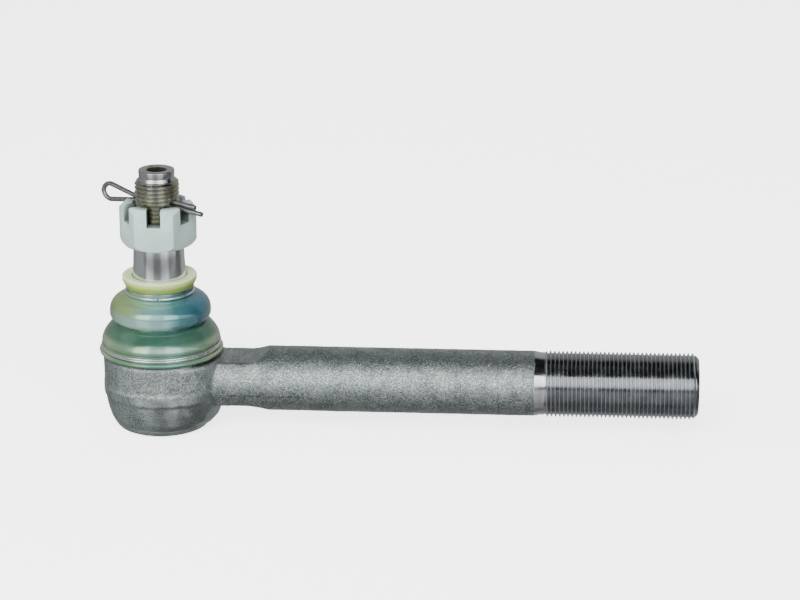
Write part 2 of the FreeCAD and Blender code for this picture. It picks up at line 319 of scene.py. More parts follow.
# spanner flats: a block beside the barrel and a roller for the round run-out
flat_z, runout_x, roller_r, cut_width = 8.4, 32.0, 10.0, 60
for side in (1, -1):
    clear_selection()
    bpy.ops.mesh.primitive_cylinder_add(
        vertices=128, radius=roller_r * mm, depth=cut_width * mm,
        location=(runout_x * mm, 0, side * (flat_z + roller_r) * mm), rotation=(math.pi / 2, 0, 0))
    roller = bpy.context.object
    bpy.ops.mesh.primitive_cube_add(
        size=1, location=(runout_x * mm / 2, 0, side * (flat_z + roller_r) * mm),
        scale=(runout_x * mm, cut_width * mm, 2 * roller_r * mm))
    combine(roller, bpy.context.object, "UNION")
    combine(shank, roller, "DIFFERENCE")
combine(forging, shank, "UNION")

# on the shank's side the barrel swells out to meet it
swell_x = 3.7
swell = turned("swell", [
    (0, -17.0), (12.5, -17.0), (14.8, -15.7), (16.9, -13.4), (18.3, -9.6), (19.4, parting_z - 0.4),
    (19.8, parting_z + 0.05), (19.8, 8.2), (19.0, 9.3), (0, 9.3)], steps=128)
bpy.ops.object.mode_set(mode="EDIT")
bpy.ops.mesh.select_all(action="SELECT")
bpy.ops.transform.translate(value=(swell_x * mm, 0, 0))
bpy.ops.object.mode_set(mode="OBJECT")
combine(forging, swell, "UNION")
modify(forging, "REMESH", mode="VOXEL", voxel_size=0.5 * mm)

# the dies leave a rounded corner where the shank meets the barrel, and soft edges elsewhere
corner = forging.vertex_groups.new(name="corner")
near = [v.index for v in forging.data.vertices
        if 17 * mm < v.co.x < 26 * mm and abs(v.co.y) < 13.5 * mm and -14 * mm < v.co.z < 9.6 * mm]
corner.add(near, 1.0, "REPLACE")
modify(forging, "SMOOTH", factor=0.5, iterations=1, vertex_group="corner")
modify(forging, "SMOOTH", factor=0.4, iterations=1)

# the lower die was a little narrower, so the shank has a step along the trimmed flash near the barrel
pick(forging)
for v in forging.data.vertices:
    step_z = (-3.2 + 0.25 * math.sin(v.co.x / mm * 0.9) * math.sin(v.co.x / mm * 0.37)) * mm
    v.select = 25.5 * mm < v.co.x < 52 * mm and v.co.z < step_z
bpy.ops.object.mode_set(mode="EDIT")
bpy.ops.transform.resize(value=(1, 0.972, 1), center_override=(0, 0, 0))
bpy.ops.object.mode_set(mode="OBJECT")

waves = bpy.data.textures.new("forging_waves", "CLOUDS")
waves.noise_scale = 5 * mm
modify(forging, "DISPLACE", texture=waves, texture_coords="LOCAL", strength=0.16 * mm, mid_level=0.5)
pits = bpy.data.textures.new("forging_pits", "CLOUDS")
pits.noise_scale = 1.3 * mm
modify(forging, "DISPLACE", texture=pits, texture_coords="LOCAL", strength=0.035 * mm, mid_level=0.5)

# the bore for the ball and its seats, and the flared mouth
bore = turned("bore", [
    (0, -19), (15.2, -19), (16.2, -17.0), (16.2, 3.0), (12.96, 6.6), (12.5, 7.0), (12.5, 9.0), (16.2, 18.6),
    (0, 18.6)], steps=96)
combine(forging, bore, "DIFFERENCE")
smooth(forging, 60)


def group_of(name, inputs, outputs):
    """A node group with (name, socket kind, default) inputs: the group, its input and output nodes."""
    made = bpy.data.node_groups.new(name, "ShaderNodeTree")
    for title, kind, default in inputs:
        socket = made.interface.new_socket(title, in_out="INPUT", socket_type=kind)
        if default is not None:
            socket.default_value = default
    for title, kind in outputs:
        made.interface.new_socket(title, in_out="OUTPUT", socket_type=kind)
    return made, made.nodes.new("NodeGroupInput"), made.nodes.new("NodeGroupOutput")


def grouped(tree, group, **inputs):
    """A use of a node group; its outputs."""
    return node(tree, "ShaderNodeGroup", {"node_tree": group}, **inputs).outputs


# worn edges: a mask that is 1 on sharp outer corners and breaks up with noise
edge_wear, enters, leaves = group_of(
    "edge_wear", [("Vector", "NodeSocketVector", None), ("Width", "NodeSocketFloat", 0.0003)],
    [("Mask", "NodeSocketFloat")])
rounded = node(edge_wear, "ShaderNodeBevel", {"samples": 6}, Radius=enters.outputs["Width"])
facing = node(edge_wear, "ShaderNodeNewGeometry")
turning = node(edge_wear, "ShaderNodeVectorMath", {"operation": "DOT_PRODUCT"})
feed(edge_wear, turning.inputs[0], rounded.outputs["Normal"])
feed(edge_wear, turning.inputs[1], facing.outputs["Normal"])
edge = maths(edge_wear, "SUBTRACT", 1.0, turning.outputs["Value"])
edge = ramp(edge_wear, edge, [(0.02, 0.0), (0.16, 1.0)])
broken = noise(edge_wear, enters.outputs["Vector"], 900.0, 3.0)
broken = ramp(edge_wear, broken, [(0.35, 0.25), (0.6, 1.0)])
connect(edge_wear, leaves, Mask=maths(edge_wear, "MULTIPLY", edge, broken))

# grain: fine dents from shot or a rough die, as a value and a normal
grain, enters, leaves = group_of(
    "grain", [("Vector", "NodeSocketVector", None), ("Scale", "NodeSocketFloat", 2000.0),
              ("Strength", "NodeSocketFloat", 0.5)],
    [("Value", "NodeSocketFloat"), ("Normal", "NodeSocketVector")])
place, scale = enters.outputs["Vector"], enters.outputs["Scale"]
fine = noise(grain, place, scale, 3.0, 0.7)
coarse = noise(grain, place, maths(grain, "MULTIPLY", scale, 0.37), 2.0)
value = maths(grain, "MULTIPLY_ADD", fine, 0.8, maths(grain, "MULTIPLY", coarse, 0.2))
bump = node(grain, "ShaderNodeBump", Strength=enters.outputs["Strength"], Distance=0.3 * mm, Height=value)
connect(grain, leaves, Value=value, Normal=bump.outputs["Normal"])

# dust and dried oil: a mask that gathers on faces that look up
dust, enters, leaves = group_of("dust", [("Vector", "NodeSocketVector", None)], [("Mask", "NodeSocketFloat")])
facing = node(dust, "ShaderNodeNewGeometry").outputs["Normal"]
up = ramp(dust, node(dust, "ShaderNodeSeparateXYZ", Vector=facing).outputs["Z"], [(0.1, 0.0), (0.9, 1.0)])
cloud = ramp(dust, noise(dust, enters.outputs["Vector"], 240.0, 6.0, 0.7), [(0.45, 0.0), (0.75, 1.0)])
connect(dust, leaves, Mask=maths(dust, "MULTIPLY", up, cloud))

# painted shade: a mask that is 1 deep in corners and slots, used to darken them where shade falls
crevice_shade, enters, leaves = group_of(
    "crevice_shade", [("Reach", "NodeSocketFloat", 3 * mm)], [("Mask", "NodeSocketFloat")])
hidden = node(crevice_shade, "ShaderNodeAmbientOcclusion", {"samples": 8}, Distance=enters.outputs["Reach"])
connect(crevice_shade, leaves, Mask=ramp(crevice_shade, hidden.outputs["AO"], [(0.5, 1.0), (0.92, 0.0)]))

blasted_steel, tree, shader, place = new_material("blasted_steel")
axes = node(tree, "ShaderNodeSeparateXYZ", Vector=place).outputs
patches = noise(tree, place, 190.0, 5.0, 0.6)
# the trimmed band and the turned cone below it are smoother than the blasted skin above
wander = maths(tree, "MULTIPLY_ADD", patches, 2.4 * mm, axes["Z"])
above = maths(tree, "MULTIPLY_ADD", wander, 1 / (30 * mm), 0.5)
rough_zone = ramp(tree, above, [(0.34, 0.22), (0.375, 0.35), (0.47, 0.40), (0.50, 1.0)])
on_shank = ramp(tree, maths(tree, "MULTIPLY", axes["X"], 1 / (40 * mm)), [(0.50, 0.0), (0.54, 1.0)])
off_shank = maths(tree, "SUBTRACT", 1.0, on_shank)
zone = maths(tree, "MAXIMUM", rough_zone, on_shank)
flash = ramp(tree, above, [(0.475, 0.0), (0.49, 1.0), (0.505, 1.0), (0.525, 0.0)])
flash = maths(tree, "MULTIPLY", flash, off_shank)
specks = grouped(tree, grain, Vector=place, Scale=2900.0, Strength=maths(tree, "MULTIPLY", zone, 0.8))
centred = maths(tree, "SUBTRACT", specks["Value"], 0.5)
contrast = maths(tree, "MULTIPLY_ADD", zone, 2.0, 0.3)
base_tone = maths(tree, "MULTIPLY_ADD", off_shank, 0.055, 0.24)
base_tone = maths(tree, "MULTIPLY_ADD", patches, 0.5, base_tone)
tone = maths(tree, "MULTIPLY_ADD", centred, contrast, base_tone)
scaly = ramp(tree, tone, [(0.2, (0.14, 0.17, 0.17)), (0.5, (0.40, 0.455, 0.45)), (0.8, (0.83, 0.90, 0.89))])
worn = maths(tree, "MULTIPLY", grouped(tree, edge_wear, Vector=place, Width=0.4 * mm)["Mask"], 0.4)
dusty = maths(tree, "MULTIPLY", grouped(tree, dust, Vector=place)["Mask"], 0.3)
# painted shade: the forging's creases, most of all where the shank meets the barrel, are darkened towards
# near black
crease_shade = maths(tree, "MULTIPLY", grouped(tree, crevice_shade, Reach=2 * mm)["Mask"], 0.6)
scraped = maths(tree, "MULTIPLY", flash, ramp(tree, specks["Value"], [(0.45, 0.0), (0.56, 0.7)]))
rubbed = maths(tree, "MAXIMUM", worn, scraped)
skin = mixed(tree, dusty, scaly, (0.17, 0.22, 0.20))
skin = mixed(tree, rubbed, skin, (0.80, 0.83, 0.82))
skin = mixed(tree, crease_shade, skin, (0.05, 0.06, 0.06))
connect(tree, shader, Base_Color=skin, Roughness=ramp(tree, tone, [(0.3, 0.34), (0.7, 0.22)]),
        Normal=specks["Normal"], Metallic=0.95)
dress(forging, blasted_steel)
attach(forging, "housing")
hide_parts("housing")


# --- Rolled edge of the barrel --------------------------------------------------------------------
# After the seats and the cover are in, the barrel's lower edge is rolled inwards over the cover. The
# rolling tool leaves it smoother and brighter than the forging.

def round_edges(piece, width, degrees):
    """Rounds the edges sharper than an angle, by a width in millimetres."""
    modify(piece, "BEVEL", width=width * mm, segments=2, limit_method="ANGLE",
           angle_limit=math.radians(degrees))


rolled_edge = turned("housing_rolled_edge", [
    (13.35, -17.9), (13.6, -18.05), (14.5, -18.05), (15.4, -17.9), (16.35, -17.45), (17.05, -16.7),
    (17.75, -15.6), (17.85, -15.2), (17.4, -14.8), (16.1, -15.0), (16.1, -17.0), (13.35, -17.3)], steps=160)
round_edges(rolled_edge, 0.15, 35)
smooth(rolled_edge)


def from_axis(tree, first, second):
    """The distance from an axis, from the two coordinates across it."""
    across = node(tree, "ShaderNodeCombineXYZ", X=first, Y=second).outputs[0]
    length = node(tree, "ShaderNodeVectorMath", {"operation": "LENGTH"})
    feed(tree, length.inputs[0], across)
    return length.outputs["Value"]


rolled_steel, tree, shader, place = new_material("rolled_steel")
axes = node(tree, "ShaderNodeSeparateXYZ", Vector=place).outputs
radius = from_axis(tree, axes["X"], axes["Y"])
rings = node(tree, "ShaderNodeCombineXYZ", X=radius, Z=axes["Z"]).outputs[0]
tool_marks = noise(tree, rings, 3500.0, 2.0)
stains = noise(tree, place, 220.0, 5.0)
bump = node(tree, "ShaderNodeBump", Strength=0.25, Distance=0.05 * mm, Height=tool_marks)
connect(tree, shader,
        Base_Color=ramp(tree, stains, [(0.3, (0.33, 0.37, 0.36)), (0.7, (0.50, 0.56, 0.55))]),
        Roughness=ramp(tree, tool_marks, [(0.3, 0.34), (0.7, 0.48)]), Normal=bump.outputs["Normal"],
        Metallic=0.85)
dress(rolled_edge, rolled_steel)
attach(rolled_edge, "housing")
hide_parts("housing")


# --- Turned neck and shank thread -----------------------------------------------------------------
# The far end of the shank is turned to size and the M24 x 1.5 thread is rolled on it, 54 mm long,
# with a chamfer at the free end. Both are bare bright steel with a film of oil.

def rolled_thread(name, radius, pitch, start, end):
    """A screw thread up the Z axis as a closed rod, cut square at both ends."""
    depth, crest = 0.6134 * pitch, pitch / 8
    root = pitch / 4
    flank = (pitch - crest - root) / 2
    turns = math.ceil((end - start) / pitch) + 3
    low = start - 1.5 * pitch
    rise = low + root + flank
    fall = rise + crest
    # the two corners of the crest are broken by small chamfers
    piece = drawn(name, [
        (radius - depth, low), (radius - depth, low + root), (radius - 0.06, rise - 0.03),
        (radius, rise + 0.05), (radius, fall - 0.05), (radius - 0.06, fall + 0.03),
        (radius - depth, low + pitch)])
    bpy.ops.object.mode_set(mode="OBJECT")
    modify(piece, "SCREW", axis="Z", angle=math.tau, screw_offset=pitch * mm, iterations=turns, steps=96,
           render_steps=96, use_merge_vertices=True, merge_threshold=0.002 * mm)
    bpy.ops.object.mode_set(mode="EDIT")
    for height, way_out in ((start, -1), (end, 1)):
        bpy.ops.mesh.select_all(action="SELECT")
        bpy.ops.mesh.bisect(plane_co=(0, 0, height * mm), plane_no=(0, 0, way_out), use_fill=True,
                            clear_outer=True, clear_inner=False, threshold=0.0001 * mm)
    weld()
    return piece


thread_start, thread_end = 138.6, 194.3
thread = rolled_thread("housing_shank_thread", 12.0, 1.5, thread_start, thread_end)
trim = turned("thread_trim", [
    (0, thread_start - 1), (10.9, thread_start - 1), (10.9, thread_start), (12.3, thread_start + 1.6),
    (12.3, thread_end - 2.6)] + arc((9.6, thread_end - 1.2), 1.2, 35, 90, 4) + [(0, thread_end)], steps=96)
combine(thread, trim, "INTERSECT")
turn_about(thread, "y", math.pi / 2)
smooth(thread, 25)

neck = turned("housing_neck", [
    (0, 134.5), (11.4, 134.5), (11.75, 135.5), (11.35, 137.4), (11.3, 138.9), (10.9, 139.3), (0, 139.3)],
    steps=128, axis="X")
round_edges(neck, 0.12, 12)
smooth(neck)

bright_steel, tree, shader, place = new_material("bright_steel")
axes = node(tree, "ShaderNodeSeparateXYZ", Vector=place).outputs
along = node(tree, "ShaderNodeCombineXYZ", X=axes["X"]).outputs[0]
tool_marks = noise(tree, along, 5000.0, 2.0)
smears = noise(tree, place, 260.0, 4.0)
oil = noise(tree, place, 90.0, 6.0, 0.7)
bump = node(tree, "ShaderNodeBump", Strength=0.12, Distance=0.02 * mm, Height=tool_marks)
steel = ramp(tree, smears, [(0.3, (0.72, 0.75, 0.78)), (0.7, (0.89, 0.92, 0.95))])
oiled = ramp(tree, oil, [(0.60, 0.0), (0.72, 1.0)])
radius = from_axis(tree, axes["Y"], axes["Z"])
# painted shade: the roots of the rolled thread are darkened towards near black
root_shade = ramp(tree, maths(tree, "MULTIPLY", radius, 1 / (12 * mm)), [(0.930, 0.55), (0.950, 0.0)])
on_thread = ramp(tree, maths(tree, "MULTIPLY", axes["X"], 1 / (200 * mm)), [(0.697, 0.0), (0.70, 1.0)])
steel = mixed(tree, maths(tree, "MULTIPLY", root_shade, on_thread), steel, (0.10, 0.11, 0.12))
connect(tree, shader, Base_Color=mixed(tree, oiled, steel, (0.44, 0.45, 0.34)),
        Roughness=ramp(tree, smears, [(0.3, 0.12), (0.7, 0.24)]), Normal=bump.outputs["Normal"],
        Metallic=1.0)
for piece in (thread, neck):
    dress(piece, bright_steel)
    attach(piece, "housing")
    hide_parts("housing")


# --- End cover, its seal, the spring and the ball seats -------------------------------------------
# The pressed cover closes the bore from below and carries a rubber seal. Inside are a phosphated
# disc spring and two moulded acetal seats that hold the ball. Their shapes are the CAD ones.

for name, material_name, dark, light, rough, metal in (
        ("end_cover", "cover_steel", (0.24, 0.26, 0.26), (0.42, 0.45, 0.44), 0.42, 0.9),
        ("disc_spring", "phosphated_steel", (0.05, 0.052, 0.055), (0.10, 0.10, 0.105), 0.55, 0.6),
        ("cover_seal", "seal_rubber", (0.014, 0.014, 0.015), (0.030, 0.030, 0.032), 0.60, 0.0),
        ("upper_ball_seat", "seat_acetal", (0.62, 0.60, 0.52), (0.74, 0.72, 0.64), 0.34, 0.0),
        ("lower_ball_seat", "greased_acetal", (0.55, 0.52, 0.42), (0.72, 0.70, 0.62), 0.28, 0.0)):
    made, tree, shader, place = new_material(material_name)
    specks = grouped(tree, grain, Vector=place, Scale=1800.0, Strength=0.25)
    stains = noise(tree, place, 230.0, 6.0, 0.65)
    worn = grouped(tree, edge_wear, Vector=place, Width=0.3 * mm)["Mask"]
    body = ramp(tree, stains, [(0.35, dark), (0.65, light)])
    connect(tree, shader,
            Base_Color=mixed(tree, maths(tree, "MULTIPLY", worn, 0.4), body,
                             tuple(min(1.0, 1.35 * c) for c in light)),
            Roughness=ramp(tree, specks["Value"], [(0.35, rough + 0.12), (0.65, rough - 0.04)]),
            Normal=specks["Normal"], Metallic=metal)
    dress(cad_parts[name], made)


# --- Dust boot ------------------------------------------------------------------------------------
# A moulded rubber bellows full of grease: a bead on the barrel's shoulder, a grooved band for the
# lower ring, a skirt, one bulge and a thin lip on the collar. It is glossy green and teal, with painted
# shade, a painted reflection and painted highlights in its colour.

def flowing(points, count=4):
    """A smooth outline that passes through every (radius, height) point."""
    padded = [points[0]] + points + [points[-1]]
    outline = []
    for a, b, c, d in zip(padded, padded[1:], padded[2:], padded[3:]):
        for k in range(count):
            t = k / count
            outline.append(tuple(
                0.5 * (2 * q + (r - p) * t + (2 * p - 5 * q + 4 * r - s) * t ** 2
                       + (3 * q - p - 3 * r + s) * t ** 3)
                for p, q, r, s in zip(a, b, c, d)))
    return outline + [points[-1]]


outside = flowing([
    (21.4, 10.22), (22.05, 10.5), (22.38, 11.1), (22.25, 11.65), (21.8, 11.97), (21.1, 12.02), (20.9, 12.3),
    (20.88, 14.1), (20.98, 14.42), (21.25, 14.62), (21.36, 15.1), (21.25, 15.9), (20.75, 17.2), (19.9, 18.6),
    (18.9, 19.9), (17.9, 20.9), (16.9, 21.6), (16.15, 22.0), (15.95, 22.4), (16.5, 22.7), (17.5, 23.2),
    (18.15, 24.3), (18.25, 25.6), (18.15, 27.0), (17.7, 28.5), (16.8, 29.8), (15.5, 30.8), (14.0, 31.5),
    (12.6, 32.1), (11.85, 32.4), (11.66, 32.7), (11.66, 34.2), (11.5, 34.65)])
inside = flowing([
    (11.02, 34.7), (11.0, 32.3), (12.6, 30.8), (14.8, 29.6), (16.2, 28.0), (16.6, 26.2), (16.1, 24.4),
    (14.4, 22.9), (14.4, 21.4), (15.9, 20.4), (17.5, 18.8), (18.4, 17.0), (18.35, 16.2), (18.35, 15.4),
    (17.6, 15.1), (17.56, 14.0), (17.56, 10.25)], count=2)
boot = turned("dust_boot_bellows", outside + inside, steps=160)
smooth(boot, 50)

boot_rubber, tree, shader, place = new_material("boot_rubber")
axes = node(tree, "ShaderNodeSeparateXYZ", Vector=place).outputs
drift = noise(tree, place, 55.0, 2.0)
across = maths(tree, "MULTIPLY_ADD", drift, 0.34, 0.33)
across = maths(tree, "MULTIPLY_ADD", axes["X"], 1 / (46 * mm), across)
# the hue drifts across the boot from yellow-green on the -X side to teal on the +X side; the darker teal on
# the +X side is painted shade
bulge = ramp(tree, across, [
    (0.06, (0.12, 0.22, 0.10)), (0.24, (0.24, 0.34, 0.11)), (0.38, (0.20, 0.37, 0.24)),
    (0.50, (0.18, 0.38, 0.36)), (0.64, (0.06, 0.20, 0.22)), (0.82, (0.035, 0.13, 0.19)),
    (0.97, (0.09, 0.21, 0.17))], smooth=True)
skirt = ramp(tree, across, [
    (0.06, (0.28, 0.38, 0.24)), (0.25, (0.14, 0.26, 0.15)), (0.50, (0.11, 0.27, 0.19)),
    (0.70, (0.12, 0.29, 0.22)), (0.88, (0.17, 0.30, 0.20)), (0.97, (0.30, 0.36, 0.22))], smooth=True)
level = maths(tree, "MULTIPLY", axes["Z"], 1 / (40 * mm))
# painted shade: the skirt's upper part and the fold under the bulge are darkened to a deep green
shaded = mixed(tree, ramp(tree, level, [(0.42, 0.0), (0.47, 0.8), (0.55, 0.9)], smooth=True), skirt,
               (0.035, 0.11, 0.075))
hue = mixed(tree, ramp(tree, level, [(0.54, 0.0), (0.58, 1.0)]), shaded, bulge)
# painted reflection: a pale blue-green band on the lower part of the bulge, for the bright table mirrored
# there
pale = maths(tree, "MULTIPLY", ramp(tree, level, [(0.555, 0.0), (0.575, 0.9), (0.665, 0.75), (0.71, 0.0)]),
             ramp(tree, across, [(0.08, 0.0), (0.25, 1.0), (0.56, 1.0), (0.66, 0.15)]))
hue = mixed(tree, pale, hue, ramp(tree, level, [(0.58, (0.50, 0.74, 0.68)), (0.64, (0.30, 0.49, 0.49))]))
# painted highlights: two cream bands on the skirt's shoulder, for the softboxes mirrored there
cream = maths(tree, "MULTIPLY", ramp(tree, level, [(0.385, 0.0), (0.405, 0.6), (0.42, 0.6), (0.44, 0.0)]),
              ramp(tree, across, [(0.30, 0.1), (0.42, 1.0), (0.52, 0.5), (0.60, 1.0), (0.75, 0.2)]))
hue = mixed(tree, cream, hue, (0.46, 0.44, 0.34))
film = noise(tree, place, 130.0, 2.0)
mould = noise(tree, place, 110.0, 1.0)
pores = grouped(tree, grain, Vector=place, Scale=3200.0, Strength=0.02)
bump = node(tree, "ShaderNodeBump", Strength=0.10, Distance=0.2 * mm, Height=mould,
            Normal=pores["Normal"])
shade = mixed(tree, ramp(tree, film, [(0.4, 0.0), (0.7, 0.15)]), hue, (0.17, 0.33, 0.28))
connect(tree, shader,
        Base_Color=mixed(tree, maths(tree, "MULTIPLY", grouped(tree, dust, Vector=place)["Mask"], 0.05),
                         shade, (0.40, 0.42, 0.34)),
        Roughness=ramp(tree, film, [(0.35, 0.13), (0.7, 0.21)]), Normal=bump.outputs["Normal"],
        Metallic=0.55, Coat_Weight=0.9, Coat_Roughness=0.07)
dress(boot, boot_rubber)
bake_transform(boot)
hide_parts("dust_boot")


# --- Rings that clamp the boot --------------------------------------------------------------------
# The lower ring is hard spring wire wound twice round the boot's band. The upper one is a single
# open turn of thicker wire round the lip. Both are bright and lightly oiled.

clear_selection()
wire_r, pitch, ring_r, ring_z, turns = 0.37, 0.78, 21.3, 12.36, 2
bpy.ops.mesh.primitive_circle_add(vertices=12, radius=wire_r * mm, fill_type="NGON",
                                  location=(0, ring_r * mm, ring_z * mm), rotation=(0, math.pi / 2, 0))
lower_ring = bpy.context.object
lower_ring.name = "boot_lower_ring_wire"
bpy.ops.object.transform_apply()
modify(lower_ring, "SCREW", axis="Z", angle=math.tau, screw_offset=pitch * mm, iterations=turns, steps=160,
       render_steps=160, use_normal_calculate=True)
bpy.ops.object.mode_set(mode="EDIT")
weld()

upper_ring = turned("boot_upper_ring_wire", arc((12.2, 33.15), 0.5, 0, 360, 14)[:-1], steps=120, degrees=357)
bpy.ops.object.mode_set(mode="EDIT")
bpy.ops.mesh.select_all(action="DESELECT")
bpy.ops.mesh.select_non_manifold()
bpy.ops.mesh.edge_face_add()
weld()
turn_about(upper_ring, "z", math.radians(-86.1))

ring_wire, tree, shader, place = new_material("ring_wire")
smears = noise(tree, place, 380.0, 4.0)
draw_lines = grouped(tree, grain, Vector=place, Scale=2600.0, Strength=0.05)
connect(tree, shader,
        Base_Color=ramp(tree, smears, [(0.3, (0.90, 0.93, 0.93)), (0.7, (0.97, 0.98, 0.98))]),
        Roughness=ramp(tree, smears, [(0.3, 0.18), (0.7, 0.28)]), Normal=draw_lines["Normal"],
        Metallic=0.95)
for piece, body, name in (
        (lower_ring, "housing", "boot_lower_ring"), (upper_ring, "collar", "boot_upper_ring")):
    smooth(piece, 45)
    dress(piece, ring_wire)
    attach(piece, body)
    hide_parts(name)


# --- Sealing collar -------------------------------------------------------------------------------
# A moulded ring of natural nylon that turns on the taper. Its flange covers the boot's lip and its
# sleeve goes down inside it. The nylon is cream and a little see-through at its edges.

bore_r = 9.68
collar = turned("sealing_collar_ring", [
    (bore_r + 0.3, 31.4), (10.95, 31.4), (10.95, 34.8), (12.0, 34.86), (12.25, 35.05), (13.2, 37.0),
    (13.36, 37.35)] + arc((12.95, 38.65), 0.45, 0, 90, 6) + [
    (12.2, 39.08), (bore_r + 0.55, 39.05), (bore_r + 0.2, 38.85), (bore_r - 0.02, 38.4)], steps=160)
smooth(collar, 40)

collar_nylon, tree, shader, place = new_material("collar_nylon")
axes = node(tree, "ShaderNodeSeparateXYZ", Vector=place).outputs
clouds = noise(tree, place, 120.0, 4.0)
level = maths(tree, "MULTIPLY_ADD", axes["Z"], 1 / (8 * mm), -4.0)
creamy = ramp(tree, level, [
    (0.36, (0.26, 0.38, 0.05)), (0.62, (0.33, 0.45, 0.09)), (0.80, (0.46, 0.56, 0.22)),
    (0.88, (0.55, 0.65, 0.40))])
faces = grouped(tree, grain, Vector=place, Scale=2400.0, Strength=0.05)
connect(tree, shader,
        Base_Color=mixed(tree, ramp(tree, clouds, [(0.35, 0.0), (0.7, 0.3)]), creamy, (0.52, 0.60, 0.28)),
        Roughness=ramp(tree, clouds, [(0.3, 0.30), (0.7, 0.42)]), Normal=faces["Normal"],
        Subsurface_Weight=0.35, Subsurface_Radius=(1.0, 1.0, 0.5), Subsurface_Scale=1.5 * mm)
dress(collar, collar_nylon)
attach(collar, "collar")
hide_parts("sealing_collar")


# --- Ball stud ------------------------------------------------------------------------------------
# One turned and heat-treated steel piece: the polished ball and neck, the ground 1:10 taper, the
# rolled M16 x 1.5 thread, and a pilot with a hexagon socket for a key.

taper_r = 10.0
stud_body = turned("ball_stud_taper", [(0, -12.6), (4.8, -12.6)] + arc((0, 0), 13.5, -69.2, 52.3, 40) + [
    (8.25, 24.0), (taper_r, 27.6), (taper_r, 30.0), (taper_r - 21.2 / 20, 51.2), (8.75, 51.65), (7.0, 52.2),
    (7.0, 53.6), (0, 53.6)], steps=128)
smooth(stud_body, 25)

top_z, socket_flats = 78.1, 6.0
stud_thread = rolled_thread("ball_stud_thread", 8.0, 1.5, 52.6, 74.6)
trim = turned("stud_thread_trim", [
    (0, 52), (7.1, 52), (7.1, 52.7), (8.2, 53.8), (8.2, 73.4), (7.0, 74.5), (0, 74.5)], steps=96)
combine(stud_thread, trim, "INTERSECT")
pilot = turned("pilot", [
    (0, 74.0), (6.9, 74.0), (6.3, 75.6), (6.4, 75.9)] + arc((6.15, top_z - 0.35), 0.35, 0, 90, 4) + [
    (0, top_z)], steps=96)
combine(stud_thread, pilot, "UNION")
socket = turned("socket_mouth", [
    (0, top_z - 6.4), (1.0, top_z - 6.4), (2.6, top_z - 5.2), (2.6, top_z - 1.5), (4.1, top_z + 0.1),
    (0, top_z + 0.1)], steps=48)
bpy.ops.mesh.primitive_cylinder_add(vertices=6, radius=socket_flats / math.sqrt(3) * mm, depth=6.2 * mm,
                                    location=(0, 0, (top_z - 2.1) * mm))
combine(socket, bpy.context.object, "UNION")
combine(stud_thread, socket, "DIFFERENCE")
clear_selection()
pin_z, pin_hole_r, pin_bearing = 66.0, 2, math.radians(-29)
bpy.ops.mesh.primitive_cylinder_add(
    vertices=32, radius=pin_hole_r * mm, depth=30 * mm, location=(0, 0, pin_z * mm),
    rotation=(math.pi / 2, 0, math.pi / 2 + pin_bearing))
combine(stud_thread, bpy.context.object, "DIFFERENCE")
smooth(stud_thread, 25)

ground_steel, tree, shader, place = new_material("ground_steel")
axes = node(tree, "ShaderNodeSeparateXYZ", Vector=place).outputs
height = node(tree, "ShaderNodeCombineXYZ", Z=axes["Z"]).outputs[0]
grind = noise(tree, height, 4200.0, 3.0)
smears = noise(tree, place, 150.0, 4.0)
bump = node(tree, "ShaderNodeBump", Strength=0.10, Distance=0.02 * mm, Height=grind)
connect(tree, shader,
        Base_Color=ramp(tree, smears, [(0.3, (0.84, 0.89, 0.90)), (0.7, (0.92, 0.97, 0.98))]),
        Roughness=ramp(tree, grind, [(0.3, 0.12), (0.7, 0.20)]), Normal=bump.outputs["Normal"],
        Metallic=1.0)
dress(stud_body, ground_steel)

oiled_thread, tree, shader, place = new_material("oiled_thread")
axes = node(tree, "ShaderNodeSeparateXYZ", Vector=place).outputs
smears = noise(tree, place, 230.0, 5.0, 0.6)
lines = grouped(tree, grain, Vector=place, Scale=2200.0, Strength=0.08)
upper = ramp(tree, maths(tree, "MULTIPLY", axes["Z"], 1 / (80 * mm)), [(0.925, 1.0), (0.935, 0.0)])
yellow = maths(tree, "MULTIPLY", upper, ramp(tree, smears, [(0.35, 0.15), (0.6, 0.75)]))
radius = from_axis(tree, axes["X"], axes["Y"])
# painted shade: everything within about 3.7 mm of the stud's axis, the inside of the hexagon socket and the
# middle of the cross hole, is near black and less metallic
socket_shade = ramp(tree, maths(tree, "MULTIPLY", radius, 1 / (8 * mm)), [(0.46, 1.0), (0.49, 0.0)])
oily = mixed(tree, yellow, (0.62, 0.64, 0.65), (0.56, 0.53, 0.32))
connect(tree, shader, Base_Color=mixed(tree, socket_shade, oily, (0.02, 0.02, 0.013)),
        Roughness=ramp(tree, smears, [(0.3, 0.16), (0.7, 0.30)]), Normal=lines["Normal"],
        Metallic=maths(tree, "SUBTRACT", 1.0, maths(tree, "MULTIPLY", socket_shade, 0.7)))
dress(stud_thread, oiled_thread)
for piece in (stud_body, stud_thread):
    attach(piece, "stud")
    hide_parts("ball_stud")


# --- Castle nut -----------------------------------------------------------------------------------
# A 24 mm slotted hexagon nut, machined from bar with six slots in the middle of its flats and a
# washer face below. It has a pale satin zinc plating.

